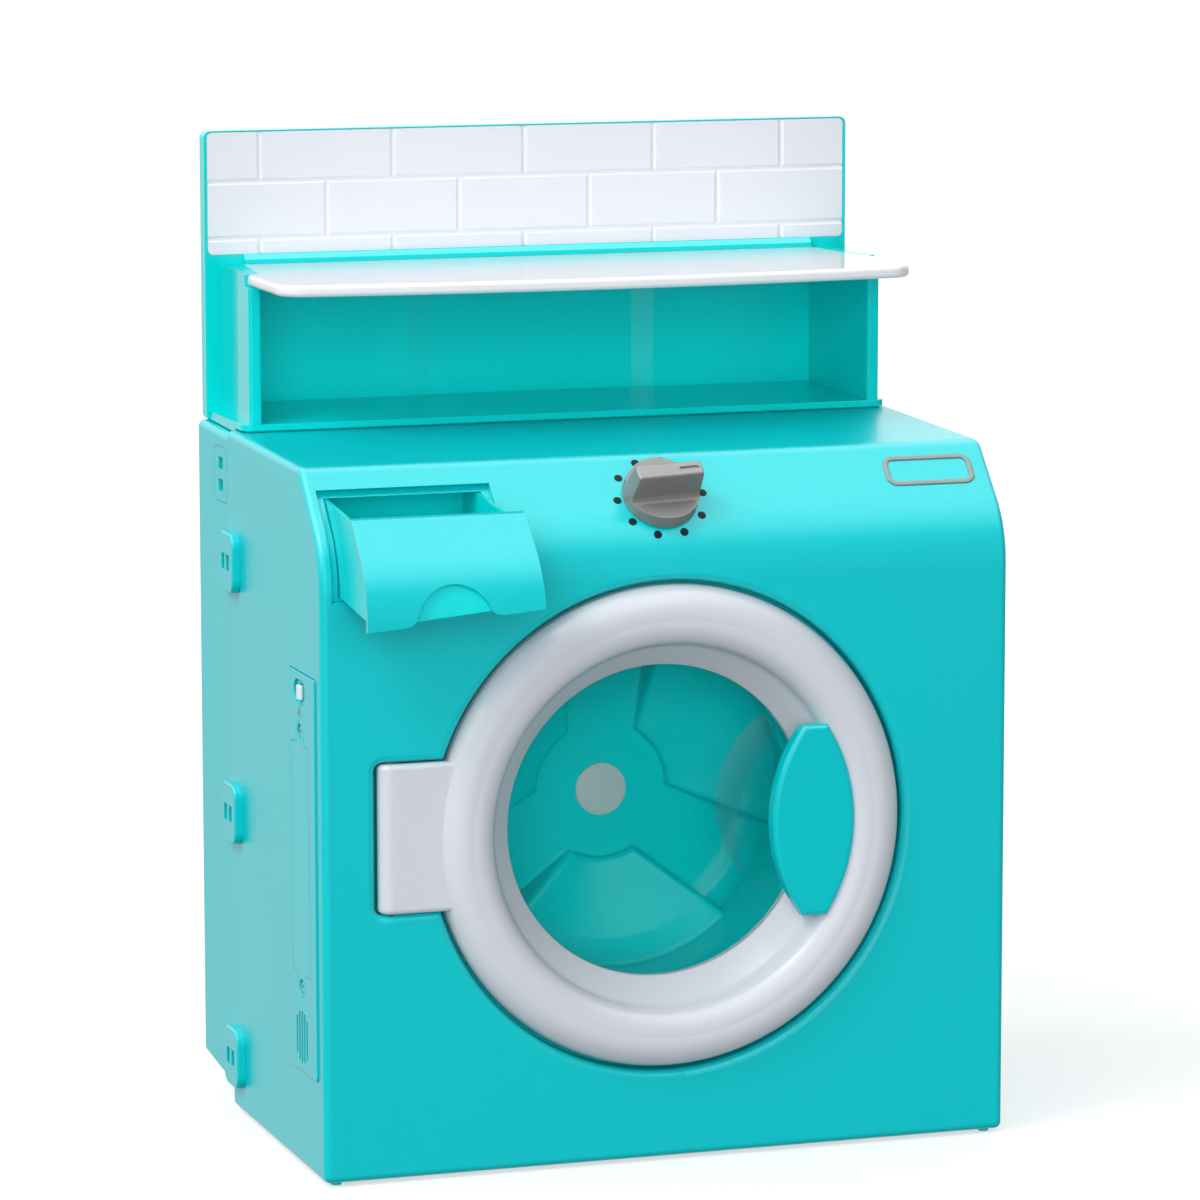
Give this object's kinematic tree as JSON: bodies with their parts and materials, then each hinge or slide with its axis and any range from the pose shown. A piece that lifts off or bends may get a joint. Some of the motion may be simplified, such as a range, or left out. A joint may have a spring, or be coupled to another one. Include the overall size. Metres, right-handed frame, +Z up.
{
  "type": "toy washer-dryer",
  "caption": "Toddler-size toy front-loading washer-dryer with a porthole door, a free-spinning drum, a sliding drawer, a control knob and a tiled shelf hutch on top.",
  "frame": {"origin": "on the floor, under the middle of the overall box with the drawer pulled out", "axes": "+X to the right seen from the front, -Y out of the front, +Z up"},
  "size_m": [0.41, 0.3286, 0.5618],
  "materials": {
    "turquoise": "smooth satin-gloss moulded plastic",
    "white": "smooth glossy moulded plastic",
    "clear": "clear polished plastic",
    "silver": "satin silver paint",
    "nylon": "plain moulded",
    "steel": "zinc plated",
    "cell": "plain sleeve",
    "board": "solder mask",
    "black": "plain"
  },
  "bodies": {
    "cabinet": {"front_shell": "turquoise", "rear_shell": "turquoise", "side_clips": "turquoise", "hutch_locks": "turquoise", "hutch_base": "turquoise", "hutch_left_wall": "turquoise", "hutch_right_wall": "turquoise", "hutch_back_panel": "turquoise", "tile_panel": "white", "counter_top": "white", "drawer_sleeve": "turquoise", "hinge_pin": "steel", "drum_axle": "steel", "drum_bracket": "nylon", "bracket_screws": "steel", "click_spring": "steel", "sound_module_case": "turquoise", "sound_module_cover": "nylon", "module_screws": "steel", "battery_cover": "turquoise", "battery_cover_screws": "steel", "batteries": "cell", "battery_contacts": "steel", "circuit_board": "board", "speaker": "black", "slide_switch": "black"},
    "door": {"door_ring": "white", "door_back_ring": "white", "door_window": "clear", "door_handle": "turquoise", "door_screws": "steel"},
    "drum": {"drum_tub": "turquoise", "drum_cap": "silver", "drum_bush": "nylon"},
    "drawer": {"drawer_front": "turquoise", "drawer_tray": "turquoise"},
    "knob": {"knob": "silver", "knob_spindle": "nylon", "click_wheel": "nylon", "knob_screw": "steel"},
    "switch": {"switch_slider": "white"}
  },
  "joints": [
    {"name": "door_swing", "type": "hinge", "parent": "cabinet", "child": "door", "pos_m": [-0.161, -0.09291, 0.189], "axis": [0, 0, -1], "range_deg": [0, 105]},
    {"name": "drum_spin", "type": "hinge", "parent": "cabinet", "child": "drum", "pos_m": [0, 0.02709, 0.189], "axis": [0, 1, 0], "continuous": true},
    {"name": "drawer_slide", "type": "slide", "parent": "cabinet", "child": "drawer", "axis": [0, -0.9945, -0.1045], "range_m": [-0.067, 0.012]},
    {"name": "knob_turn", "type": "hinge", "parent": "cabinet", "child": "knob", "pos_m": [0.0005, -0.07561, 0.37072], "axis": [0, -0.7242, 0.6896], "continuous": true},
    {"name": "switch_slide", "type": "slide", "parent": "cabinet", "child": "switch", "axis": [0, 0, 1], "range_m": [-0.0025, 0.0025]}
  ]
}
